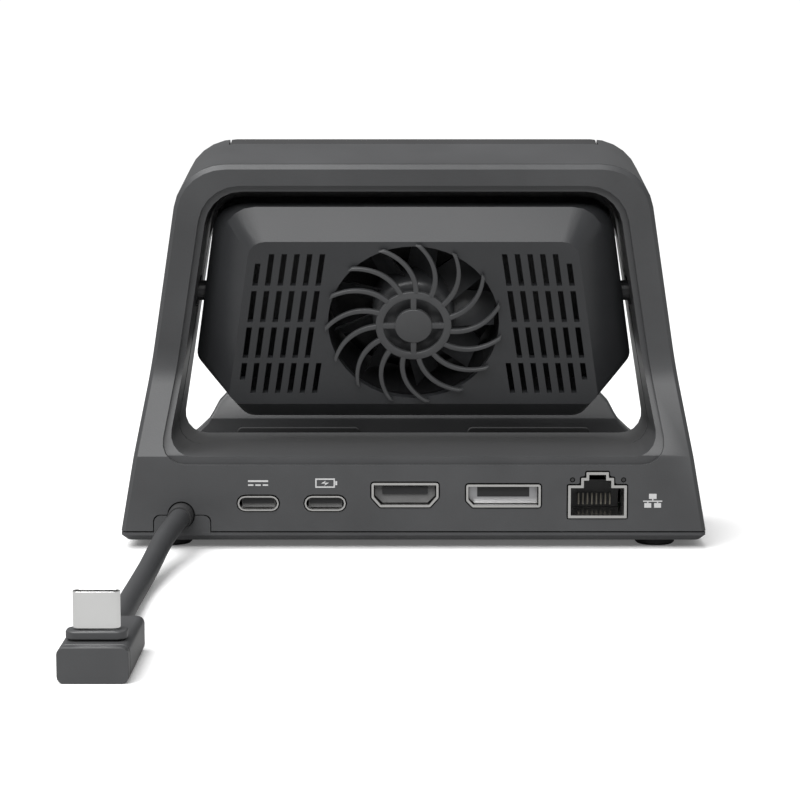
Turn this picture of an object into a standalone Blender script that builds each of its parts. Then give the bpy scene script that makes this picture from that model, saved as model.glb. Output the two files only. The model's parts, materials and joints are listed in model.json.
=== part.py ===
"""Laptop docking station: arched stand, rear port panel and a fan pod that tilts on two pins.

Lengths in the constants and in every function are millimetres; MM turns them into metres.
X runs to the right, Y from the port panel towards the console side and Z up from the desk.
Fixed pieces hang on the empty "dock", whose Y is measured from the port panel's plane.
The empty "pod" is on the pins' axis: its Z runs up the pod and its -Y out of the fan's face.
"""
import math

import bmesh
import bpy
from mathutils import Matrix, Vector

MM = 0.001
GAP = 0.3                     # clearance between neighbouring pieces

# Stand
WALL_BASE = 66.4              # half width of the side walls at desk height
WALL_LEAN = 0.176             # inward lean of the side walls per unit of height
FLOOR_Z = 4.15                # underside of the housing, on the bottom cover
BASE_TOP = 20.8
PANEL_TOP = 21.1
BEND_Y, BEND_Z = 7.96, 40.8   # where the rear slope turns into the arch
BEND_R = 14.0                 # radius of that turn
ARCH_LEAN = 0.249             # the arch leans back by this per unit of height
TOP_REAR_Z = 86.0
TOP_RISE = math.tan(math.radians(12.5))
ARCH_FRONT = 44.1             # arch front plane, carried down to desk height
BASE_DEPTH = 41.0
DEPTH = 80.0
HOOD_Y, HOOD_Z = 21.6, 75.5   # the crossbar hangs lower in front of the pod's top edge
COVER_T = 1.2
REAR_MOST = -4.065           # rearmost point of the leaning pod guard
MID_Y = (REAR_MOST + DEPTH) / 2
SCREWS = [(-53.0, 30.0), (53.0, 30.0), (-45.0, 72.0), (45.0, 72.0)]
FEET = {"rear_left": (-55, 9), "rear_right": (55, 9), "front_left": (-55, 71), "front_right": (55, 71)}

# Trough and lip for the console's lower edge
TROUGH_Z = 8.0
LIP_Y = 66.0
LIP_SIDE = [(65.0, 4.15), (64.2, 8.0), (60.2, 12.4), (54.8, 16.8), (52.0, 19.5), (50.4, 22.1),
            (49.2, 24.4), (47.4, 26.3), (44.5, 27.0)]

# Rear panel
USB_X = {"usb_c_power": -34.8, "usb_c_data": -19.8}
USB_Z = 10.5
HDMI_X, HDMI_Z = -1.9, 12.4
DP_X, DP_Z = 20.15, 12.2
JACK_X = 41.2
CABLE_X, CABLE_Z, CABLE_D = -52.1, 7.8, 4.5
LED_X = {"left": 35.6, "right": 47.05}
LED_Z = 15.8

# Pod
PIVOT_Y, PIVOT_Z = 16.5, 57.0
POD_LEAN = math.radians(22.0)
FACE_W, EDGE_W, RIM_W, SPLIT_W, BACK_W = 13.5, 8.2, 3.0, 1.0, -9.0
FAN_U = -1.55
FAN_R = 19.15
BLADES, RIBS = 9, 15

# Plug on the cable's end
PLUG_X, PLUG_FRONT, PLUG_BACK, PLUG_W, PLUG_H = -55.8, -121.5, -96.1, 12.6, 6.5
SHELL_Y = -114.7
ROUTE = [(-52.1, -4.3, 7.8), (-52.5, -10.0, 7.7), (-54.0, -21.6, 6.1), (-55.2, -37.5, 3.6),
         (-55.9, -50.0, 2.5), (-56.1, -64.0, 2.35), (-55.9, -80.0, 2.6), (-55.8, -89.0, 3.1),
         (-55.8, -95.8, 3.25)]

COLOURS = {
    "housing": ((0.055, 0.056, 0.058), 0.55, 0.0),
    "dark": ((0.02, 0.02, 0.021), 0.6, 0.0),
    "metal": ((0.72, 0.72, 0.73), 0.3, 1.0),
    "rubber": ((0.025, 0.025, 0.026), 0.9, 0.0),
    "board": ((0.02, 0.10, 0.05), 0.5, 0.0),
    "lens": ((0.75, 0.78, 0.72), 0.3, 0.0),
}


def collection(name):
    found = bpy.data.collections.new(name)
    bpy.context.scene.collection.children.link(found)
    return found


def material(slot):
    found = bpy.data.materials.get(slot)
    if found is None:
        colour, rough, metal = COLOURS[slot]
        found = bpy.data.materials.new(slot)
        found.use_nodes = True
        shader = found.node_tree.nodes["Principled BSDF"]
        shader.inputs["Base Color"].default_value = (*colour, 1)
        shader.inputs["Roughness"].default_value = rough
        shader.inputs["Metallic"].default_value = metal
    return found


def empty(name, location, tilt=0.0, parent=None):
    made = bpy.data.objects.new(name, None)
    made.location = [value * MM for value in location]
    made.rotation_euler.x = tilt
    made.parent = parent
    bpy.context.scene.collection.objects.link(made)
    return made


def piece(name, mesh, slot, parent, smooth=False):
    made = bpy.data.objects.new(name, mesh)
    made.parent = parent
    mesh.materials.append(material(slot))
    if smooth:
        mesh.shade_smooth()
        mesh.set_sharp_from_angle(angle=math.radians(35))
    PARTS.objects.link(made)
    return made


def combine(target, mesh, operation="DIFFERENCE"):
    """Cut, join or intersect a piece with a helper solid that stays out of the build."""
    helper = bpy.data.objects.new(f"{target.name}_{operation.lower()}_{len(target.modifiers)}", mesh)
    helper.parent = target.parent
    helper.display_type = "WIRE"
    helper.hide_render = True
    CUTTERS.objects.link(helper)
    step = target.modifiers.new(operation.title(), "BOOLEAN")
    step.operation = operation
    step.solver = "EXACT"
    step.object = helper
    return target


def chamfer(target, width, angle=50.0):
    step = target.modifiers.new("Chamfer", "BEVEL")
    step.width = width * MM
    step.segments = 1
    step.limit_method = "ANGLE"
    step.angle_limit = math.radians(angle)


# ---- outlines ------------------------------------------------------------------------------

def rounded(corners, radii, steps=4):
    """Replace each corner of an outline by an arc, with the same number of points for each."""
    out = []
    for i, corner in enumerate(corners):
        radius = radii[i] if isinstance(radii, (list, tuple)) else radii
        here = Vector(corner)
        before = (Vector(corners[i - 1]) - here).normalized()
        after = (Vector(corners[(i + 1) % len(corners)]) - here).normalized()
        half = before.angle(after) / 2
        centre = here + (before + after).normalized() * radius / math.sin(half)
        first = here + before * radius / math.tan(half) - centre
        last = here + after * radius / math.tan(half) - centre
        start = math.atan2(first.y, first.x)
        sweep = math.atan2(last.y, last.x) - start
        sweep = (sweep + math.pi) % math.tau - math.pi
        for k in range(steps + 1):
            angle = start + sweep * k / steps
            out.append((centre.x + radius * math.cos(angle), centre.y + radius * math.sin(angle)))
    return out


def inset(corners, distance):
    """Move every side of a counter-clockwise outline inwards; outwards if negative."""
    out = []
    for i, corner in enumerate(corners):
        here = Vector(corner)
        along_in = (here - Vector(corners[i - 1])).normalized()
        along_out = (Vector(corners[(i + 1) % len(corners)]) - here).normalized()
        normal_in = Vector((-along_in.y, along_in.x))
        normal_out = Vector((-along_out.y, along_out.x))
        out.append(tuple(here + (normal_in + normal_out) * distance / (1 + normal_in.dot(normal_out))))
    return out


def rectangle(x, z, width, height):
    return [(x - width / 2, z - height / 2), (x + width / 2, z - height / 2),
            (x + width / 2, z + height / 2), (x - width / 2, z + height / 2)]


def circle(x, z, radius, count=24):
    turns = [math.tau * k / count for k in range(count)]
    return [(x + radius * math.cos(turn), z + radius * math.sin(turn)) for turn in turns]


def symmetric(right_side):
    """Counter-clockwise outline from its right side, listed from the bottom up."""
    return right_side + [(-x, z) for x, z in reversed(right_side)]


# ---- solids --------------------------------------------------------------------------------

PLANES = {
    "XY": Matrix.Identity(4),
    "XZ": Matrix(((1, 0, 0, 0), (0, 0, -1, 0), (0, 1, 0, 0), (0, 0, 0, 1))),
    "YZ": Matrix(((0, 0, 1, 0), (1, 0, 0, 0), (0, 1, 0, 0), (0, 0, 0, 1))),
}


def closed_mesh(name, bm):
    bmesh.ops.remove_doubles(bm, verts=bm.verts, dist=1e-6)
    bmesh.ops.recalc_face_normals(bm, faces=bm.faces)
    mesh = bpy.data.meshes.new(name)
    bm.to_mesh(mesh)
    bm.free()
    return mesh


def plate(outlines, low, high, plane="XZ"):
    """Flat outlines (an outer one, with any holes) extruded from low to high across their plane."""
    curve = bpy.data.curves.new("outline", "CURVE")
    curve.dimensions = "2D"
    curve.fill_mode = "BOTH"
    curve.extrude = (high - low) / 2 * MM
    for outline in outlines:
        spline = curve.splines.new("POLY")
        spline.points.add(len(outline) - 1)
        spline.use_cyclic_u = True
        for point, (a, b) in zip(spline.points, outline):
            point.co = (a * MM, b * MM, 0, 1)
    flat = bpy.data.objects.new("outline", curve)
    bpy.context.scene.collection.objects.link(flat)
    depsgraph = bpy.context.evaluated_depsgraph_get()
    extruded = bpy.data.meshes.new_from_object(flat.evaluated_get(depsgraph))
    bpy.data.objects.remove(flat)
    middle = (low + high) / 2 * MM * (-1 if plane == "XZ" else 1)
    bm = bmesh.new()
    bm.from_mesh(extruded)
    place = PLANES[plane] @ Matrix.Translation((0, 0, middle))
    bmesh.ops.transform(bm, matrix=place, verts=bm.verts)
    return closed_mesh("plate", bm)


def loft(rings, axis="Y"):
    """Solid through outlines, each (position along the axis, points), capped at both ends."""
    bm = bmesh.new()
    loops = []
    for position, points in rings:
        if axis == "Y":
            loops.append([bm.verts.new((x * MM, position * MM, z * MM)) for x, z in points])
        else:
            loops.append([bm.verts.new((x * MM, y * MM, position * MM)) for x, y in points])
    for lower, upper in zip(loops, loops[1:]):
        for i, corner in enumerate(lower):
            j = (i + 1) % len(lower)
            bm.faces.new((corner, lower[j], upper[j], upper[i]))
    bm.faces.new(loops[0])
    bm.faces.new(loops[-1])
    return closed_mesh("loft", bm)


def turned(profile, centre=(0, 0, 0), axis="Y", steps=24):
    """Profile points (radius, position along the axis) spun a full turn about the axis."""
    bm = bmesh.new()
    verts = [bm.verts.new((radius * MM, 0, along * MM)) for radius, along in profile]
    for start, end in zip(verts, verts[1:]):
        bm.edges.new((start, end))
    if profile[0][0] > 0:
        bm.edges.new((verts[-1], verts[0]))
    bmesh.ops.spin(bm, geom=bm.verts[:] + bm.edges[:], cent=(0, 0, 0), axis=(0, 0, 1), dvec=(0, 0, 0),
                   angle=math.tau, steps=steps, use_merge=True, use_duplicate=False)
    turn = {"X": Matrix.Rotation(math.pi / 2, 4, "Y"), "Y": Matrix.Rotation(-math.pi / 2, 4, "X"),
            "Z": Matrix.Identity(4)}[axis]
    place = Matrix.Translation([value * MM for value in centre]) @ turn
    bmesh.ops.transform(bm, matrix=place, verts=bm.verts)
    return closed_mesh("turned", bm)


def joined(meshes):
    """Several closed solids, clear of each other, as one helper mesh."""
    bm = bmesh.new()
    for mesh in meshes:
        bm.from_mesh(mesh)
    return closed_mesh("joined", bm)


# ---- stand ---------------------------------------------------------------------------------

def wall(z, margin=0.0):
    return WALL_BASE - WALL_LEAN * z - margin


def arch_rear(z):
    return BEND_Y - ARCH_LEAN * (z - BEND_Z)


def arch_front(z):
    return ARCH_FRONT - ARCH_LEAN * z


def bend(depth):
    """Rounded turn of the rear faces from the arch down into the slope, moved forward by a depth."""
    outline = [(arch_rear(97) + depth, 97), (BEND_Y + depth, BEND_Z), (depth, PANEL_TOP)]
    return rounded(outline, [0.1, BEND_R, 0.1], 5)[6:12]


def front_outline(y):
    top = TOP_REAR_Z + (y - arch_rear(TOP_REAR_Z)) * TOP_RISE
    corners = symmetric([(wall(-8), -8), (wall(top), top)])
    return rounded(corners, [1, 12, 12, 1], steps=6)


def stand_solid(name, slot):
    """Outer shape of the arch and base, before it is split into its mouldings."""
    made = piece(name, loft([(-9, front_outline(-9)), (60, front_outline(60))]), slot, DOCK)
    side = [(0, -4), (BASE_DEPTH, -4), (BASE_DEPTH, BASE_TOP - GAP), (arch_front(BASE_TOP), BASE_TOP - GAP),
            (arch_front(96), 96), (arch_rear(96), 96)] + bend(0) + [(0, PANEL_TOP)]
    combine(made, plate([side], -75, 75, "YZ"), "INTERSECT")
    chamfer(made, 0.9)
    return made


def rear_region(depth):
    """Side outline of everything behind the rear faces moved forward by a depth."""
    return ([(-20, FLOOR_Z), (depth, FLOOR_Z), (depth, PANEL_TOP)] + bend(depth)[::-1]
            + [(arch_rear(97) + depth, 97), (-20, 97)])


def window(margin, low, high, radii):
    corners = symmetric([(wall(low, margin), low), (wall(high, margin), high)])
    return rounded(corners, [radii[0], radii[1], radii[1], radii[0]], steps=5)


def pad_region(grow):
    """Side outline of the bumper let into the upper front edge of the arch."""
    low = 83.5 - grow
    depth = 5.5 + grow
    return [(arch_front(low) - depth, low), (arch_front(low) + 9, low), (arch_front(97) + 9, 97),
            (arch_front(97) - depth, 97)]


def ports():
    """Outer corner lists of the port shells, from the left, with their corner radii."""
    jack = symmetric([(6.575, 7.15), (6.575, 14.6), (3.675, 14.6), (3.675, 16.3), (2.5, 16.3), (2.5, 17.6)])
    hdmi = symmetric([(5.6, -2.75), (7.5, -0.6), (7.5, 2.75)])
    display = [(-6.9, -2.6), (8.35, -2.6), (8.35, 2.6), (-8.35, 2.6), (-8.35, -1.1)]
    found = {name: (rectangle(x, USB_Z, 9.2, 3.4), 1.65) for name, x in USB_X.items()}
    found["hdmi"] = ([(x + HDMI_X, z + HDMI_Z) for x, z in hdmi], 0.5)
    found["displayport"] = ([(x + DP_X, z + DP_Z) for x, z in display], 0.5)
    found["ethernet"] = ([(x + JACK_X, z) for x, z in jack], 0.15)
    return found


def rear_cover():
    made = stand_solid("rear_cover", "housing")
    combine(made, plate([rear_region(COVER_T)], -76, 76, "YZ"), "INTERSECT")
    combine(made, plate([window(5.9, 19.2, 81.5, (5, 9.5))], -15, 30))
    holes = [plate([rounded(inset(corners, -GAP), radius + GAP, 3)], -3, 4)
             for corners, radius in ports().values()]
    holes += [plate([circle(x, LED_Z, 0.6, 12)], -3, 4) for x in LED_X.values()]
    holes.append(plate([tongue_outline(-0.1, 2.0)], -3, 4))
    combine(made, joined(holes))
    combine(made, plate([circle(CABLE_X, CABLE_Z, 3.1, 28)], -3, 4))


def main_housing():
    made = stand_solid("main_housing", "housing")
    combine(made, plate([rear_region(COVER_T + GAP)], -76, 76, "YZ"))
    combine(made, plate([[(-30, -20), (60, -20), (60, FLOOR_Z), (-30, FLOOR_Z)]], -77, 77, "YZ"))
    combine(made, plate([window(7.3, BASE_TOP, 80.2, (5, 8.5))], -15, HOOD_Y))
    combine(made, plate([window(7.4, BASE_TOP, HOOD_Z, (5, 8.5))], HOOD_Y - 1, 42))
    combine(made, plate([rectangle(0, 7.4, 121, 22)], -5, 38.5))
    bosses = [turned([(0, 4.7), (3, 4.7), (3, 20), (0, 20)], (x, y, 0), "Z", 16) for x, y in SCREWS[:2]]
    combine(made, joined(bosses), "UNION")
    combine(made, joined([screw_hole(x, y) for x, y in SCREWS[:2]]))
    combine(made, plate([pad_region(GAP)], -41.5 - GAP, 41.5 + GAP, "YZ"))
    bores = [turned([(0, -54), (3.6, -54), (3.6, -47), (0, -47)], (0, PIVOT_Y, PIVOT_Z), "X", 24),
             turned([(0, 47), (3.6, 47), (3.6, 54), (0, 54)], (0, PIVOT_Y, PIVOT_Z), "X", 24)]
    combine(made, joined(bores))


def screw_hole(x, y):
    return turned([(0, 2), (1.4, 2), (1.4, 12.5), (0, 12.5)], (x, y, 0), "Z", 12)


def backrest_bumper():
    made = stand_solid("backrest_bumper", "rubber")
    combine(made, plate([pad_region(0)], -41.5, 41.5, "YZ"), "INTERSECT")


def front_ledge():
    side = [(BASE_DEPTH + GAP, FLOOR_Z), (DEPTH, FLOOR_Z), (DEPTH, 9.5), (73.2, 29), (71.4, 29),
            (LIP_Y, 20.5), (LIP_Y, TROUGH_Z), (BASE_DEPTH + GAP, TROUGH_Z)]
    made = piece("front_ledge", plate([symmetric(LIP_SIDE)], 30, 90), "housing", DOCK)
    combine(made, plate([side], -75, 75, "YZ"), "INTERSECT")
    chamfer(made, 0.5)
    combine(made, joined([screw_hole(x, y) for x, y in SCREWS[2:]]))


def tongue_outline(shrink, drop):
    """Port-panel tab of the bottom cover below the cable's exit."""
    low, high = 3.4 - drop, CABLE_Z - shrink
    corners = [(-58.35 + shrink, low), (-45.5 - shrink, low), (-45.5 - shrink, high), (-58.35 + shrink, high)]
    return rounded(corners, [0.1, 0.1, 1.5, 1.5], 3)


def bottom_cover():
    full = [(wall(4), 0), (wall(4), DEPTH)]
    corners = [(-wall(4), 0), full[0], full[1], (-wall(4), DEPTH)]
    radii = [1.5, 1.5, 7, 7]
    rings = [(2.0, rounded(inset(corners, 1.2), radii)), (3.2, rounded(corners, radii)),
             (FLOOR_Z - GAP, rounded(corners, radii))]
    made = piece("bottom_cover", loft(rings, "Z"), "housing", DOCK)
    combine(made, plate([tongue_outline(0.1, 0)], 0.02, COVER_T), "UNION")
    combine(made, plate([circle(CABLE_X, CABLE_Z, 3.1, 28)], -3, 4))
    holes = [turned([(0, 1), (2.7, 1), (2.7, 3.1), (1.4, 3.1), (1.4, 6), (0, 6)], (x, y, 0), "Z", 16)
             for x, y in SCREWS]
    combine(made, joined(holes))


def base_pieces():
    for name, (x, y) in FEET.items():
        profile = [(0, 0), (4.1, 0), (4.5, 0.4), (4.5, 1.7), (0, 1.7)]
        piece(f"foot_{name}", turned(profile, (x, y, 0), "Z", 24), "rubber", DOCK, True)
    for number, (x, y) in enumerate(SCREWS, 1):
        profile = [(0, 2.1), (2.4, 2.1), (2.4, 2.8), (1.1, 2.8), (1.1, 12), (0, 12)]
        piece(f"base_screw_{number}", turned(profile, (x, y, 0), "Z", 12), "metal", DOCK)
    for side, centre in (("left", -28.85), ("right", 28.85)):
        outline = rounded(rectangle(centre, 13.6, 30.7, 9.6), 1.2, 3)
        piece(f"ledge_pad_{side}", plate([outline], LIP_Y - GAP - 1.2, LIP_Y - GAP), "rubber", DOCK)
    ballast = rectangle(0, 20.5, 92, 31)
    piece("ballast_plate", plate([ballast], 4.3, 6.0, "XY"), "metal", DOCK)
    board = [(-46, 3), (33.9, 3), (33.9, 14), (48.9, 14), (48.9, 37), (-46, 37)]
    piece("main_board", plate([board], 6.6, 8.2, "XY"), "board", DOCK)


def port_pieces():
    depths = {"usb_c_power": 7.5, "usb_c_data": 7.5, "hdmi": 9.5, "displayport": 9.5, "ethernet": 13.0}
    walls = {"usb_c_power": 0.35, "usb_c_data": 0.35, "hdmi": 0.5, "displayport": 0.5, "ethernet": 0.6}
    for name, (corners, radius) in ports().items():
        thick = walls[name]
        outer = rounded(corners, radius, 3)
        inner = rounded(inset(corners, thick), max(radius - thick, 0.1), 3)
        piece(f"{name}_shell", plate([outer, inner], -0.2, depths[name]), "metal", DOCK)
    tongues = {"usb_c_power": (USB_X["usb_c_power"], USB_Z + 0.4, 6.9, 1.2),
               "usb_c_data": (USB_X["usb_c_data"], USB_Z + 0.4, 6.9, 1.2),
               "hdmi": (HDMI_X, HDMI_Z + 0.8, 10.2, 1.6), "displayport": (DP_X, DP_Z + 0.7, 11.7, 2.2)}
    for name, (x, z, width, height) in tongues.items():
        back = depths[name] + GAP
        made = piece(f"{name}_contact_tongue", plate([rectangle(x, z, width, height)], 1.4, back + 1), "dark", DOCK)
        combine(made, plate([rectangle(x, z - 0.6, width + 2, 3.0)], back, back + 1.6), "UNION")
    piece("ethernet_contact_block", plate([rectangle(JACK_X, 10.9, 11.2, 6.2)], 11.6, 13.6), "dark", DOCK)
    for side, x in LED_X.items():
        piece(f"ethernet_light_{side}", plate([circle(x, LED_Z, 0.4, 10)], 0.3, 5), "lens", DOCK)


# ---- cable and plug ------------------------------------------------------------------------

def smooth_route(points, per_span):
    """Catmull-Rom curve through the route's points."""
    route = [Vector(point) for point in points]
    ends = [route[0] * 2 - route[1]] + route + [route[-1] * 2 - route[-2]]
    out = []
    for a, b, c, d in zip(ends, ends[1:], ends[2:], ends[3:]):
        for k in range(per_span):
            t = k / per_span
            out.append(0.5 * (2 * b + (c - a) * t + (2 * a - 5 * b + 4 * c - d) * t * t
                              + (3 * b - a - 3 * c + d) * t ** 3))
    return out + [route[-1]]


def cable():
    curve = bpy.data.curves.new("cable", "CURVE")
    curve.dimensions = "3D"
    curve.bevel_depth = CABLE_D / 2 * MM
    curve.bevel_resolution = 3
    curve.use_fill_caps = True
    points = smooth_route(ROUTE, 2)
    spline = curve.splines.new("POLY")
    spline.points.add(len(points) - 1)
    for point, place in zip(spline.points, points):
        point.co = (*(place * MM), 1)
    curve.materials.append(material("rubber"))
    made = bpy.data.objects.new("cable", curve)
    made.parent = DOCK
    PARTS.objects.link(made)
    profile = [(0, -4.0), (2.55, -4.0), (2.8, -2.6), (2.8, COVER_T + GAP), (3.6, COVER_T + GAP), (3.6, 3.2), (0, 3.2)]
    piece("strain_relief", turned(profile, (CABLE_X, 0, CABLE_Z), "Y", 24), "rubber", DOCK, True)


def plug():
    outline = rounded(rectangle(PLUG_X, PLUG_H / 2, PLUG_W, PLUG_H), 1.3, 4)
    split = PLUG_FRONT + 2.2
    piece("plug_body", plate([outline], split + GAP, PLUG_BACK), "housing", DOCK)
    cap = piece("plug_cap", plate([outline], PLUG_FRONT, split), "housing", DOCK)
    chamfer(cap, 0.4)
    neck = rounded(rectangle(PLUG_X, SHELL_Y, 10.9, 5.0), 1.8, 4)
    piece("plug_neck", plate([neck], PLUG_H + GAP, PLUG_H + 1.8, "XY"), "housing", DOCK)
    outer = rounded(rectangle(PLUG_X, SHELL_Y, 8.4, 2.5), 1.2, 4)
    inner = rounded(rectangle(PLUG_X, SHELL_Y, 7.7, 1.8), 0.85, 4)
    low = PLUG_H + 1.8 + GAP
    piece("plug_shell", plate([outer, inner], low, low + 6.6, "XY"), "metal", DOCK)


# ---- fan pod -------------------------------------------------------------------------------

def pod_corners(w):
    """Corner list of the pod's outline at a height w above the pivot plane."""
    if w >= FACE_W:
        return [(40.2, -22.2), (42.0, -20.0), (36.0, 18.7)], [1.5, 1.5, 4]
    if w >= EDGE_W:
        return [(38.5, -28.2), (47.2, -16.0), (41.0, 24.7)], [4, 4, 7]
    top = 23.0 - 0.29 * (RIM_W - w)
    return [(40.5, -28.4), (50.0, -15.5), (50.0 - 0.157 * (top + 15.5), top)], [4, 4, 7]


def pod_ring(w, margin=0.0):
    side, radii = pod_corners(w)
    corners = inset(symmetric(side), margin)
    radii = [max(radius - margin, 0.4) for radius in radii]
    return rounded(corners, radii + radii[::-1], 4)


def slots():
    """Slanted vent slots beside the fan, in four rows on each side."""
    out = []
    for side in (-1, 1):
        for row, u in enumerate((11.8, 2.7, -6.4, -15.5)):
            for column in range(7 if row == 3 else 6):
                middle = 36.0 - 2.8 * column - 0.152 * (u - 2.7)
                low, high = u - 3.9, u + 3.9
                if row == 0 and column == 0:
                    high = u + 1.6
                if row == 3 and column == 0:
                    low = u - 0.4
                outline = [(side * (middle - 0.152 * (z - u) + dx), z)
                           for dx, z in ((-0.6, low), (0.6, low), (0.6, high), (-0.6, high))]
                out.append(plate([outline[::side]], -15, -10))
    return out


def pod_pin_bores():
    return joined([turned([(0, a), (2.6, a), (2.6, b), (0, b)], (0, 0, 0), "X", 20)
                   for a, b in ((-53, -40), (40, 53))])


def pod_rear_cover():
    rings = [(-w, pod_ring(w)) for w in (FACE_W, EDGE_W, RIM_W, SPLIT_W)]
    made = piece("pod_rear_cover", loft(rings), "housing", POD)
    hollow = [(-FACE_W + 1.5, pod_ring(FACE_W, 1.0)), (-EDGE_W + 0.9, pod_ring(EDGE_W, 1.8)),
              (-RIM_W, pod_ring(RIM_W, 1.8)), (2, pod_ring(SPLIT_W, 1.8))]
    combine(made, loft(hollow))
    combine(made, joined(slots() + [plate([circle(0, FAN_U, FAN_R, 48)], -15, -10)]))
    combine(made, pod_pin_bores())


def pod_front_cover():
    last = pod_ring(BACK_W + 1)
    rings = [(-SPLIT_W + GAP, pod_ring(SPLIT_W - GAP)), (-BACK_W - 1, last),
             (-BACK_W, pod_ring(BACK_W, 1.0))]
    made = piece("pod_front_cover", loft(rings), "housing", POD)
    hollow = [(-2, pod_ring(SPLIT_W, 1.8)), (-BACK_W - 2, pod_ring(BACK_W + 2, 1.8))]
    combine(made, loft(hollow))
    vents = []
    for row in range(-4, 5):
        reach = math.sqrt(17.5 ** 2 - (row * 3.8) ** 2)
        vents.append(plate([rounded(rectangle(0, FAN_U + row * 3.8, 2 * reach, 1.8), 0.6, 2)], 4, 12))
    combine(made, joined(vents))
    combine(made, pod_pin_bores())


def guard_rib(turn):
    """One curved rib, from the ring out to the opening's edge, sweeping to the left as it rises."""
    sides = [[], []]
    for k in range(6):
        share = k / 5
        radius = 7.6 + (19.9 - 7.6) * share
        angle = turn + math.radians(25) * share ** 1.6
        for side, width in ((0, -0.6), (1, 0.6)):
            offset = angle + width / radius
            sides[side].append((radius * math.cos(offset), FAN_U + radius * math.sin(offset)))
    return plate([sides[0] + sides[1][::-1]], -14.8, -13.8)


def fan_guard():
    low, high = -14.8, -13.8
    ring = plate([circle(0, FAN_U, 8.5, 48), circle(0, FAN_U, 6.75, 48)], low, high)
    made = piece("fan_guard", ring, "housing", POD)
    bars = []
    for k in range(4):
        turn = Matrix.Rotation(math.pi / 2 * k, 2)
        corners = [turn @ Vector(corner) for corner in rectangle(5.3, 0, 4.8, 1.3)]
        bars.append(plate([[(point.x, point.y + FAN_U) for point in corners]], low, high))
    combine(made, joined(bars), "UNION")
    combine(made, plate([circle(0, FAN_U, 4.18, 36)], low - 0.2, high), "UNION")
    combine(made, joined([guard_rib(math.tau * k / RIBS) for k in range(RIBS)]), "UNION")


def fan_frame():
    tube = turned([(19.6, -10.3), (20.6, -10.3), (20.6, 2.5), (19.6, 2.5)], (0, 0, FAN_U), "Y", 40)
    made = piece("fan_frame", tube, "dark", POD, True)
    struts = []
    for k in range(3):
        turn = Matrix.Rotation(math.tau * k / 3 + 0.4, 2)
        corners = [turn @ Vector(corner) for corner in rectangle(13.4, 0, 13.2, 2.4)]
        struts.append(plate([[(point.x, point.y + FAN_U) for point in corners]], 1.4, 2.4))
    combine(made, joined(struts), "UNION")
    combine(made, plate([circle(0, FAN_U, 8.4, 32)], 1.3, 2.5), "UNION")


def fan_pieces():
    filter_disc = plate([circle(0, FAN_U, 18, 40)], 2.8, 4.0)
    piece("dust_filter", filter_disc, "rubber", POD)
    motor = [(0, 1.0), (8, 1.0), (8, -0.4), (1, -0.4), (1, -7), (0, -7)]
    piece("fan_motor", turned(motor, (0, 0, FAN_U), "Y", 24), "metal", POD)
    hub = [(0, -7.5), (1.3, -7.5), (1.3, -0.7), (9.3, -0.7), (9.3, -10.6), (8.6, -11.3), (0, -11.3)]
    made = piece("impeller", turned(hub, (0, 0, 0), "Y", 32), "dark", FAN, True)
    blades = []
    for k in range(BLADES):
        bm = bmesh.new()
        bmesh.ops.create_cube(bm, size=MM)
        place = (Matrix.Rotation(math.tau * k / BLADES, 4, "Y") @ Matrix.Translation((13.45 * MM, -5.6 * MM, 0))
                 @ Matrix.Rotation(math.radians(40), 4, "X") @ Matrix.Diagonal((9.9, 8.4, 0.9, 1)))
        bmesh.ops.transform(bm, matrix=place, verts=bm.verts)
        blades.append(closed_mesh("blade", bm))
    combine(made, joined(blades), "UNION")
    for side, sign in (("left", -1), ("right", 1)):
        pin = [(0, sign * 43.6), (3.4, sign * 43.6), (3.4, sign * 45.2), (2.3, sign * 45.2), (2.3, sign * 52.6),
               (0, sign * 52.6)]
        piece(f"pivot_pin_{side}", turned(pin, (0, 0, 0), "X", 20), "metal", POD)
        bush = [(2.6, sign * 49.2), (3.3, sign * 49.2), (3.3, sign * 53.4), (2.6, sign * 53.4)]
        place = (0, PIVOT_Y, PIVOT_Z)
        piece(f"pivot_bush_{side}", turned(bush, place, "X", 20), "dark", DOCK)


for old in list(bpy.data.objects):
    bpy.data.objects.remove(old)

PARTS = collection("laptop_docking_station")
CUTTERS = collection("cutters")
DOCK = empty("dock", (0, -MID_Y, 0))
POD = empty("pod", (0, PIVOT_Y, PIVOT_Z), POD_LEAN, DOCK)
FAN = empty("fan", (0, 0, FAN_U), 0.0, POD)

rear_cover()
main_housing()
backrest_bumper()
front_ledge()
bottom_cover()
base_pieces()
port_pieces()
cable()
plug()
pod_rear_cover()
pod_front_cover()
fan_guard()
fan_frame()
fan_pieces()
bpy.context.view_layer.update()
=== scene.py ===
"""Looks of the laptop docking station: studio, cord, refined mouldings, fan and printed symbols."""
import json
import math

import bmesh
import bpy
from mathutils import Matrix, Vector


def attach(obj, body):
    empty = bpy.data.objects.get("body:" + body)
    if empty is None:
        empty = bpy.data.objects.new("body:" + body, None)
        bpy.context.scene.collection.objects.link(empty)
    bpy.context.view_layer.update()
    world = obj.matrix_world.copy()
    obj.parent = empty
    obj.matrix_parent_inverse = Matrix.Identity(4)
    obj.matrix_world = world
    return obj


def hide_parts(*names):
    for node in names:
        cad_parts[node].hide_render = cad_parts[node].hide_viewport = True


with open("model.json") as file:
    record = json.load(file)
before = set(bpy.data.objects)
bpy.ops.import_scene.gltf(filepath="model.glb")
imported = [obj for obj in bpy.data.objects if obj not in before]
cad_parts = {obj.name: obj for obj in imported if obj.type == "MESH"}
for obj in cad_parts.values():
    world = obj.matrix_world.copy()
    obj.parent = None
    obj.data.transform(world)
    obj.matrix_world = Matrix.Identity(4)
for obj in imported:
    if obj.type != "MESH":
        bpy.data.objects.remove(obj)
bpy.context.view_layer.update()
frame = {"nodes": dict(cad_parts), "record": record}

MM = 0.001

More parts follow.
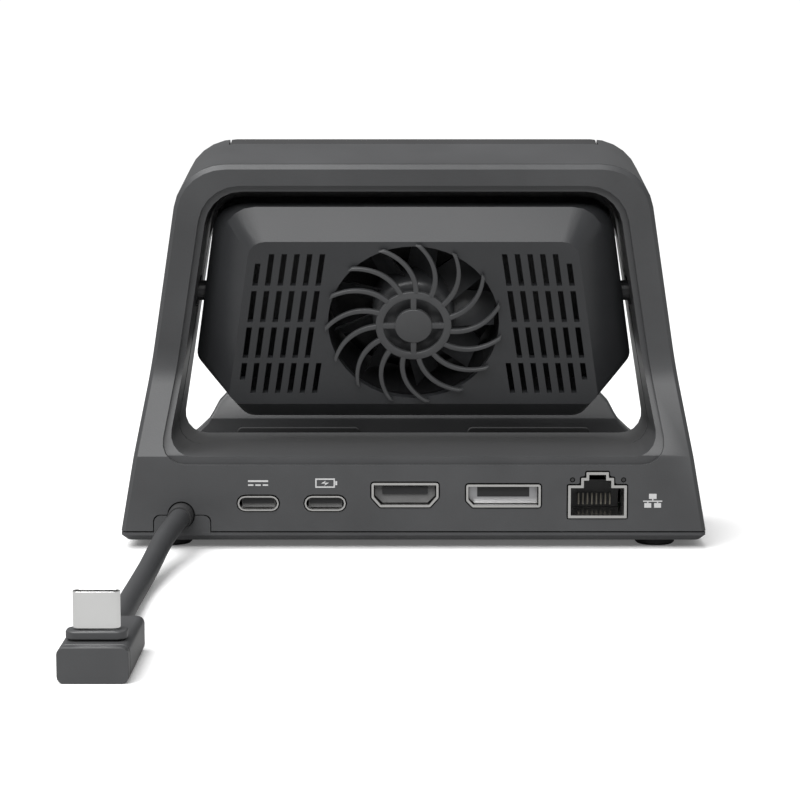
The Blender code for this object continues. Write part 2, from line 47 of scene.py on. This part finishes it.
# Places that the part's source also uses, in millimetres; Y is measured from the port panel
MID_Y = 37.9675
CABLE_EXIT = (-52.1, -4.3, 7.8)
CABLE_D = 4.5
ROUTE = [CABLE_EXIT, (-52.5, -10.0, 7.7), (-54.0, -21.6, 6.1), (-55.2, -37.5, 3.6),
         (-55.9, -50.0, 2.5), (-56.1, -64.0, 2.35), (-55.9, -80.0, 2.6), (-55.8, -89.0, 3.1),
         (-55.8, -95.8, 3.25)]
POD_Y, POD_Z = 16.5, 57.0    # middle of the pod, on the pins that it tilts on
POD_LEAN = math.radians(22.0)
FAN_U = -1.55                # the fan's axis, up the pod from its middle
RIBS, BLADES = 15, 9
USB_X, USB_Z = (-34.8, -19.8), 10.5
HDMI_X, HDMI_Z = -1.9, 12.4
DISPLAY_X, DISPLAY_Z = 20.15, 12.2
JACK_X = 41.2

# Guard in front of the fan, in millimetres; depths are along the fan's axis
GUARD_OUT, GUARD_IN = -14.8, -13.8
HUB_DISC_R, HUB_RING_IN, HUB_RING_OUT = 4.18, 6.75, 8.5
RIB_START, RIB_END, RIB_HALF = 8.0, 19.85, 0.6
RIB_PHASE = math.radians(-10)
RIB_SWEEP = math.radians(25)
RIB_STEPS = 16

# Impeller
BLADE_ROOT, BLADE_LENGTH, BLADE_CHORD = 8.9, 9.4, 8.6
BLADE_CAMBER, BLADE_HALF, BLADE_MIDDLE = 0.8, 0.4, -5.4
PITCH_ROOT, PITCH_LOSS = 48, 14          # degrees at the hub, and how much flatter the tip is
BLADE_STEPS = 6

# Printed symbols
USB_MARK_Z = 15.1
NETWORK_MARK = (53.6, 11.0)
INK_OUT, INK_IN = -0.06, -0.01

AMBIENT = 0.25               # strength of the even light all round
BACKDROP = 1.05              # strength of the white that the camera sees behind the object

TO_ROW = Matrix.Translation((0, -MID_Y * MM, 0))
TO_POD = TO_ROW @ Matrix.Translation((0, POD_Y * MM, POD_Z * MM)) @ Matrix.Rotation(POD_LEAN, 4, "X")
TO_FAN = TO_POD @ Matrix.Translation((0, 0, FAN_U * MM))


# ---- camera --------------------------------------------------------------------------------

def set_camera():
    """Long lens behind the port panel, looking slightly down."""
    data = bpy.data.cameras.new("camera")
    data.lens = 106.65
    data.sensor_width = 36.0
    data.shift_x = -0.0169
    data.clip_start = 0.01
    camera = bpy.data.objects.new("camera", data)
    camera.location = (0, (-523.6 - MID_Y) * MM, 102.8 * MM)
    camera.rotation_euler = (math.radians(90 - 7.5), 0, 0)
    bpy.context.scene.collection.objects.link(camera)
    bpy.context.scene.camera = camera


# ---- materials -----------------------------------------------------------------------------

def moulded(name, colour, rough, grain=0.35, grain_size=0.00035, metal=0.0, spread=0.12):
    """Plastic, rubber or metal: even colour with faint clouding, and a fine moulded grain."""
    made = bpy.data.materials.new(name)
    made.use_nodes = True
    nodes, links = made.node_tree.nodes, made.node_tree.links
    shader = nodes["Principled BSDF"]
    shader.inputs["Metallic"].default_value = metal
    where = nodes.new("ShaderNodeTexCoord")

    cloud = nodes.new("ShaderNodeTexNoise")
    cloud.inputs["Scale"].default_value = 60
    cloud.inputs["Detail"].default_value = 5
    links.new(where.outputs["Object"], cloud.inputs["Vector"])
    tint = nodes.new("ShaderNodeValToRGB")
    tint.color_ramp.elements[0].position = 0.3
    tint.color_ramp.elements[1].position = 0.7
    tint.color_ramp.elements[0].color = (*[c * (1 - spread) for c in colour], 1)
    tint.color_ramp.elements[1].color = (*[min(c * (1 + spread), 1) for c in colour], 1)
    links.new(cloud.outputs["Fac"], tint.inputs["Fac"])
    links.new(tint.outputs["Color"], shader.inputs["Base Color"])

    shine = nodes.new("ShaderNodeMapRange")
    shine.inputs["To Min"].default_value = rough - 0.05
    shine.inputs["To Max"].default_value = rough + 0.05
    links.new(cloud.outputs["Fac"], shine.inputs["Value"])
    links.new(shine.outputs["Result"], shader.inputs["Roughness"])

    texture = nodes.new("ShaderNodeTexNoise")
    texture.inputs["Scale"].default_value = 1 / grain_size
    texture.inputs["Detail"].default_value = 3
    links.new(where.outputs["Object"], texture.inputs["Vector"])
    bump = nodes.new("ShaderNodeBump")
    bump.inputs["Strength"].default_value = grain
    bump.inputs["Distance"].default_value = 0.00005
    links.new(texture.outputs["Fac"], bump.inputs["Height"])
    links.new(bump.outputs["Normal"], shader.inputs["Normal"])
    return made


HOUSING = moulded("housing_matt", (0.054, 0.055, 0.057), 0.42)
POD_HOUSING = moulded("pod_matt", (0.027, 0.028, 0.030), 0.40)
DARK = moulded("black_satin", (0.012, 0.012, 0.013), 0.42)
BLADE = moulded("impeller_black", (0.035, 0.036, 0.038), 0.35)
LINER = moulded("port_liner", (0.13, 0.13, 0.13), 0.4)
RUBBER = moulded("soft_rubber", (0.028, 0.028, 0.029), 0.75, grain=0.6, grain_size=0.0006)
SHEATH = moulded("cable_sheath", (0.045, 0.046, 0.048), 0.5, grain=0.2)
NICKEL = moulded("nickel", (0.60, 0.595, 0.58), 0.24, grain=0.08, metal=1.0, spread=0.04)
STEEL = moulded("steel", (0.42, 0.42, 0.43), 0.35, grain=0.2, metal=1.0, spread=0.1)
WIRE = moulded("spring_wire", (0.16, 0.15, 0.13), 0.4, grain=0.1, metal=1.0, spread=0.1)
BOARD = moulded("solder_mask", (0.012, 0.07, 0.032), 0.4, grain=0.15)
LENS = moulded("light_pipe", (0.03, 0.03, 0.03), 0.2, grain=0.05)
BRIGHT = moulded("plug_nickel", (0.86, 0.86, 0.85), 0.22, grain=0.05, metal=1.0, spread=0.03)
PRINT = moulded("printed_grey", (0.55, 0.55, 0.55), 0.6, grain=0.1, spread=0.05)

BY_SLOT = {"housing": HOUSING, "dark": DARK, "metal": NICKEL, "rubber": RUBBER, "board": BOARD,
           "lens": LENS}
BODIES = frame["record"]["behaviour"]["bodies"]
BODY_OF = {node: body for body, nodes in BODIES.items() for node in nodes}
SLOT_OF = {entry["node"]: entry["material_slot"] for entry in frame["record"]["subparts"]}


# ---- making pieces -------------------------------------------------------------------------

def finished(name, mesh, skin, body, smooth_angle=35):
    """A mesh in the row frame, as a shown piece that rides on a body."""
    mesh.materials.clear()
    mesh.materials.append(skin)
    mesh.shade_smooth()
    mesh.set_sharp_from_angle(angle=math.radians(smooth_angle))
    made = bpy.data.objects.new(name, mesh)
    bpy.context.scene.collection.objects.link(made)
    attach(made, body)
    return made


def refined(node, skin=None, width=0.25, segments=3):
    """The node's own shape with its flat faces joined up and every edge finely rounded."""
    bm = bmesh.new()
    bm.from_mesh(frame["nodes"][node].data)
    bmesh.ops.remove_doubles(bm, verts=bm.verts, dist=2e-6)
    bmesh.ops.dissolve_limit(bm, angle_limit=math.radians(0.4), verts=bm.verts, edges=bm.edges)
    mesh = bpy.data.meshes.new(node + "_fine")
    bm.to_mesh(mesh)
    bm.free()
    slot = SLOT_OF[node]
    made = finished(node + "_fine", mesh, skin or BY_SLOT[slot], BODY_OF[node])
    edge = made.modifiers.new("Edge", "BEVEL")
    edge.width = width * MM
    edge.segments = segments
    edge.limit_method = "ANGLE"
    edge.angle_limit = math.radians(30)
    edge.harden_normals = True
    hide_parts(node)
    return made


def extruded(outlines, low, high, bevel=0.0):
    """Flat outlines in X and Z, each its own closed plate, from low to high along Y."""
    bm = bmesh.new()
    for outline in outlines:
        curve = bpy.data.curves.new("outline", "CURVE")
        curve.dimensions = "2D"
        curve.fill_mode = "BOTH"
        curve.extrude = ((high - low) / 2 - bevel) * MM
        curve.bevel_depth = bevel * MM
        curve.bevel_resolution = 2
        curve.offset = -bevel * MM
        loops = outline if isinstance(outline[0], list) else [outline]
        for loop in loops:
            spline = curve.splines.new("POLY")
            spline.points.add(len(loop) - 1)
            spline.use_cyclic_u = True
            for point, (x, z) in zip(spline.points, loop):
                point.co = (x * MM, z * MM, 0, 1)
        flat = bpy.data.objects.new("outline", curve)
        bpy.context.scene.collection.objects.link(flat)
        seen = flat.evaluated_get(bpy.context.evaluated_depsgraph_get())
        solid = bpy.data.meshes.new_from_object(seen)
        bpy.data.objects.remove(flat)
        bm.from_mesh(solid)
    place = Matrix.Translation((0, (low + high) / 2 * MM, 0)) @ Matrix.Rotation(math.pi / 2, 4, "X")
    bmesh.ops.transform(bm, matrix=place, verts=bm.verts)
    bmesh.ops.remove_doubles(bm, verts=bm.verts, dist=1e-7)
    mesh = bpy.data.meshes.new("extruded")
    bm.to_mesh(mesh)
    bm.free()
    return mesh


def circle(x, z, radius, count=64):
    """Points round a circle in X and Z."""
    turns = [math.tau * k / count for k in range(count)]
    return [(x + radius * math.cos(turn), z + radius * math.sin(turn)) for turn in turns]


def rectangle(x, z, width, height):
    """Corners of a rectangle round a middle point in X and Z."""
    return [(x - width / 2, z - height / 2), (x + width / 2, z - height / 2),
            (x + width / 2, z + height / 2), (x - width / 2, z + height / 2)]


def placed(mesh, matrix):
    """The mesh itself, moved."""
    mesh.transform(matrix)
    return mesh


def merged(meshes):
    """One mesh made of several."""
    bm = bmesh.new()
    for mesh in meshes:
        bm.from_mesh(mesh)
    out = bpy.data.meshes.new("merged")
    bm.to_mesh(out)
    bm.free()
    return out


# ---- cord ----------------------------------------------------------------------------------

def smooth_route(points, per_span):
    """Catmull-Rom curve through the route's points."""
    route = [Vector(point) for point in points]
    ends = [route[0] * 2 - route[1]] + route + [route[-1] * 2 - route[-2]]
    out = []
    for a, b, c, d in zip(ends, ends[1:], ends[2:], ends[3:]):
        for k in range(per_span):
            t = k / per_span
            out.append(0.5 * (2 * b + (c - a) * t + (2 * a - 5 * b + 4 * c - d) * t * t
                              + (3 * b - a - 3 * c + d) * t ** 3))
    return out + [route[-1]]


def cable():
    """Round sheath along the route, with the plug's pieces at its end."""
    points = [TO_ROW @ (point * MM) for point in smooth_route(ROUTE, 8)]
    curve = bpy.data.curves.new("cable_sheath", "CURVE")
    curve.dimensions = "3D"
    curve.bevel_depth = CABLE_D / 2 * MM
    curve.bevel_resolution = 8
    curve.use_fill_caps = True
    spline = curve.splines.new("POLY")
    spline.points.add(len(points) - 1)
    for point, place in zip(spline.points, points):
        point.co = (*place, 1)
    spline.use_smooth = True
    curve.materials.append(SHEATH)
    made = bpy.data.objects.new("cable_sheath", curve)
    bpy.context.scene.collection.objects.link(made)
    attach(made, "stand")
    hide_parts("cable")
    plug = [refined("plug_body", width=0.3), refined("plug_cap", width=0.2),
            refined("plug_neck", width=0.3), refined("plug_shell", BRIGHT, 0.08, 2)]


# ---- fan -----------------------------------------------------------------------------------

def rib(turn):
    """One swept rib, from the hub's ring out to the rim."""
    sides = [[], []]
    for step in range(RIB_STEPS + 1):
        share = step / RIB_STEPS
        radius = RIB_START + (RIB_END - RIB_START) * share
        angle = turn + RIB_SWEEP * share ** 1.6
        for side, width in ((0, -RIB_HALF), (1, RIB_HALF)):
            offset = angle + width / radius
            sides[side].append((radius * math.cos(offset), radius * math.sin(offset)))
    return extruded([sides[0] + sides[1][::-1]], GUARD_OUT, GUARD_IN, 0.22)


def guard():
    """Hub disc, four spokes, ring and the swept ribs, all with rounded edges."""
    ring = [circle(0, 0, HUB_RING_OUT), circle(0, 0, HUB_RING_IN)]
    solids = [extruded([ring], GUARD_OUT, GUARD_IN, 0.2),
              extruded([circle(0, 0, HUB_DISC_R)], GUARD_OUT - 0.2, GUARD_IN, 0.25)]
    for k in range(4):
        spoke = extruded([rectangle(5.3, 0, 3.6, 1.3)], GUARD_OUT, GUARD_IN, 0.15)
        solids.append(placed(spoke, Matrix.Rotation(math.pi / 2 * k, 4, "Y")))
    solids += [rib(math.tau * k / RIBS + RIB_PHASE) for k in range(RIBS)]
    made = finished("fan_guard_fine", placed(merged(solids), TO_FAN), HOUSING, "pod")
    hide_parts("fan_guard")


def hub(bm):
    """Domed cup, turned round the fan's axis."""
    profile = [(0, -11.3), (6.5, -11.2), (8.2, -10.9), (9.0, -10.3), (9.3, -9.4), (9.3, -0.7),
               (1.3, -0.7)]
    verts = [bm.verts.new((radius * MM, along * MM, 0)) for radius, along in profile]
    for start, end in zip(verts, verts[1:]):
        bm.edges.new((start, end))
    bmesh.ops.spin(bm, geom=bm.verts[:] + bm.edges[:], cent=(0, 0, 0), axis=(0, 1, 0),
                   dvec=(0, 0, 0), angle=math.tau, steps=64, use_merge=True, use_duplicate=False)
    bmesh.ops.remove_doubles(bm, verts=bm.verts, dist=1e-6)


def blade_point(turn, i, j, side):
    """A point on a blade: i steps out from the hub, j steps along the chord, on one of its sides."""
    radius = BLADE_ROOT + BLADE_LENGTH * i / BLADE_STEPS
    pitch = math.radians(PITCH_ROOT - PITCH_LOSS * i / BLADE_STEPS)
    chord = (j / BLADE_STEPS - 0.5) * BLADE_CHORD
    camber = BLADE_CAMBER * (1 - (2 * j / BLADE_STEPS - 1) ** 2)
    along = BLADE_MIDDLE + chord * math.cos(pitch) + camber * math.sin(pitch)
    across = chord * math.sin(pitch) - camber * math.cos(pitch)
    angle = turn + across / radius
    return radius * math.cos(angle) * MM, (along + side) * MM, radius * math.sin(angle) * MM


def blade(bm, turn):
    """Pitched, cambered blade: two skins and the rim that joins them."""
    steps = range(BLADE_STEPS + 1)
    last = BLADE_STEPS
    skins = [[[bm.verts.new(blade_point(turn, i, j, side)) for j in steps] for i in steps]
             for side in (-BLADE_HALF, BLADE_HALF)]
    for skin in skins:
        for i in range(last):
            for j in range(last):
                bm.faces.new((skin[i][j], skin[i + 1][j], skin[i + 1][j + 1], skin[i][j + 1]))
    rim = [(i, 0) for i in steps] + [(last, j) for j in range(1, last + 1)]
    rim += [(i, last) for i in range(last - 1, -1, -1)] + [(0, j) for j in range(last - 1, 0, -1)]
    for (i, j), (m, n) in zip(rim, rim[1:] + rim[:1]):
        bm.faces.new((skins[0][i][j], skins[0][m][n], skins[1][m][n], skins[1][i][j]))


def impeller():
    """Hub with its ring of blades."""
    bm = bmesh.new()
    hub(bm)
    for k in range(BLADES):
        blade(bm, math.tau * k / BLADES)
    bmesh.ops.recalc_face_normals(bm, faces=bm.faces)
    mesh = bpy.data.meshes.new("impeller_fine")
    bm.to_mesh(mesh)
    bm.free()
    made = finished("impeller_fine", placed(mesh, TO_FAN), BLADE, "fan", 40)
    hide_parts("impeller")


# ---- printed symbols and insides of the ports ------------------------------------------------

def printed(name, outlines):
    """Thin ink on the port panel."""
    mesh = placed(extruded(outlines, INK_OUT, INK_IN), TO_ROW)
    finished(name, mesh, PRINT, "stand")


def symbols():
    """Generic marks: direct current over one socket, battery over the next, network by the jack."""
    x, z = USB_X[0], USB_MARK_Z
    dashes = [rectangle(x + dx, z - 0.45, 1.2, 0.35) for dx in (-1.65, 0, 1.65)]
    printed("mark_direct_current", [rectangle(x, z + 0.45, 4.5, 0.4)] + dashes)
    x = USB_X[1]
    frame_line = [rectangle(x, z, 4.4, 2.1), rectangle(x, z, 3.8, 1.5)]
    bolt = [(x - 0.9, z - 0.1), (x + 0.1, z - 0.1), (x - 0.2, z - 0.6), (x + 0.9, z + 0.1),
            (x - 0.1, z + 0.1), (x + 0.2, z + 0.6)]
    printed("mark_battery", [frame_line, rectangle(x + 2.5, z, 0.4, 0.9), bolt])
    x, z = NETWORK_MARK
    boxes = [rectangle(x, z + 1.1, 1.7, 1.15)]
    boxes += [rectangle(x + dx, z - 0.95, 1.55, 1.05) for dx in (-1.1, 1.1)]
    lines = [rectangle(x, z, 4.3, 0.25), rectangle(x, z + 0.32, 0.3, 0.45)]
    lines += [rectangle(x + dx, z - 0.28, 0.3, 0.35) for dx in (-1.1, 1.1)]
    printed("mark_network", boxes + lines)


def port_insides():
    """Plates behind the contact tongues, and the row of spring wires in the network jack."""
    usb = rectangle(0, 0, 7.6, 2.5)
    hdmi = [(-5.1, -2.1), (5.1, -2.1), (6.8, -0.4), (6.8, 2.05), (-6.8, 2.05), (-6.8, -0.4)]
    display = [(-6.4, -2.0), (7.7, -2.0), (7.7, 2.0), (-7.7, 2.0), (-7.7, -0.9)]
    sockets = {"usb_power": (USB_X[0], USB_Z, usb, LINER), "usb_data": (USB_X[1], USB_Z, usb, LINER),
               "hdmi": (HDMI_X, HDMI_Z, hdmi, LINER),
               "display": (DISPLAY_X, DISPLAY_Z, display, STEEL)}
    for name, (x, z, outline, skin) in sockets.items():
        mesh = extruded([[(x + a, z + b) for a, b in outline]], 2.0, 2.5, 0.1)
        finished(name + "_liner", placed(mesh, TO_ROW), skin, "stand")
    wires = [extruded([rectangle(JACK_X + (k - 3.5) * 1.02, 9.9, 0.4, 2.6)], 9.4, 10.2, 0.08)
             for k in range(8)]
    finished("jack_contacts", placed(merged(wires), TO_ROW), WIRE, "stand")


# ---- studio --------------------------------------------------------------------------------

def area_light(name, location, target, size, power):
    """Soft rectangular lamp aimed at a point, in metres and watts."""
    data = bpy.data.lights.new(name, "AREA")
    data.shape = "RECTANGLE"
    data.size, data.size_y = size
    data.energy = power
    lamp = bpy.data.objects.new(name, data)
    lamp.location = location
    lamp.rotation_euler = (Vector(target) - Vector(location)).to_track_quat("-Z", "Y").to_euler()
    bpy.context.scene.collection.objects.link(lamp)


def sun_light(name, direction, strength, softness):
    """Light from far away; softness is the angle that it seems to cover, in degrees."""
    data = bpy.data.lights.new(name, "SUN")
    data.energy = strength
    data.angle = math.radians(softness)
    lamp = bpy.data.objects.new(name, data)
    lamp.rotation_euler = Vector(direction).to_track_quat("-Z", "Y").to_euler()
    bpy.context.scene.collection.objects.link(lamp)


def pale_floor():
    """White to look at, but a soft grey card to the light that it throws back on the object."""
    made = moulded("floor_pale", (0.92, 0.92, 0.92), 0.8, grain=0.02, spread=0.004)
    nodes, links = made.node_tree.nodes, made.node_tree.links
    shader = nodes["Principled BSDF"]
    shader.inputs["Emission Color"].default_value = (1, 1, 1, 1)
    shader.inputs["Emission Strength"].default_value = 0.12
    card = nodes.new("ShaderNodeBsdfDiffuse")
    card.inputs["Color"].default_value = (0.4, 0.4, 0.4, 1)
    ray = nodes.new("ShaderNodeLightPath")
    mix = nodes.new("ShaderNodeMixShader")
    links.new(ray.outputs["Is Camera Ray"], mix.inputs["Fac"])
    links.new(card.outputs["BSDF"], mix.inputs[1])
    links.new(shader.outputs["BSDF"], mix.inputs[2])
    links.new(mix.outputs["Shader"], nodes["Material Output"].inputs["Surface"])
    return made


def studio():
    """White floor and backdrop, a high soft sun and one wide softbox over the camera."""
    bpy.ops.mesh.primitive_plane_add(size=40, location=(0, 0, 0))
    floor = bpy.context.object
    floor.name = "studio_floor"
    floor.data.materials.append(pale_floor())
    world = bpy.data.worlds.new("studio_world")
    world.use_nodes = True
    nodes, links = world.node_tree.nodes, world.node_tree.links
    backdrop = nodes["Background"]
    backdrop.inputs["Color"].default_value = (1, 1, 1, 1)
    backdrop.inputs["Strength"].default_value = BACKDROP
    ambient = nodes.new("ShaderNodeBackground")
    ambient.inputs["Strength"].default_value = AMBIENT
    ambient.inputs["Color"].default_value = (1, 1, 1, 1)
    ray = nodes.new("ShaderNodeLightPath")
    mix = nodes.new("ShaderNodeMixShader")
    links.new(ray.outputs["Is Camera Ray"], mix.inputs["Fac"])
    links.new(ambient.outputs["Background"], mix.inputs[1])
    links.new(backdrop.outputs["Background"], mix.inputs[2])
    links.new(mix.outputs["Shader"], nodes["World Output"].inputs["Surface"])
    bpy.context.scene.world = world
    sun_light("overhead", (0.35, 0.1, -1.0), 2.7, 45)
    area_light("key_softbox", (-0.3, -1.0, 0.85), (0, 0, 0.05), (1.8, 0.6), 18)
    bpy.context.scene.view_settings.view_transform = "Standard"


set_camera()
cable()
for node in ("rear_cover", "main_housing", "bottom_cover", "front_ledge", "backrest_bumper",
             "ledge_pad_left", "ledge_pad_right"):
    refined(node)
for node in ("pod_rear_cover", "pod_front_cover"):
    refined(node, POD_HOUSING, 0.2)
for node, slot in SLOT_OF.items():
    if not frame["nodes"][node].hide_render:
        data = frame["nodes"][node].data
        bare_steel = node.startswith(("base_screw", "ballast", "fan_motor"))
        skin = STEEL if bare_steel else BY_SLOT[slot]
        data.materials.clear()
        data.materials.append(skin)
guard()
impeller()
symbols()
port_insides()
studio()
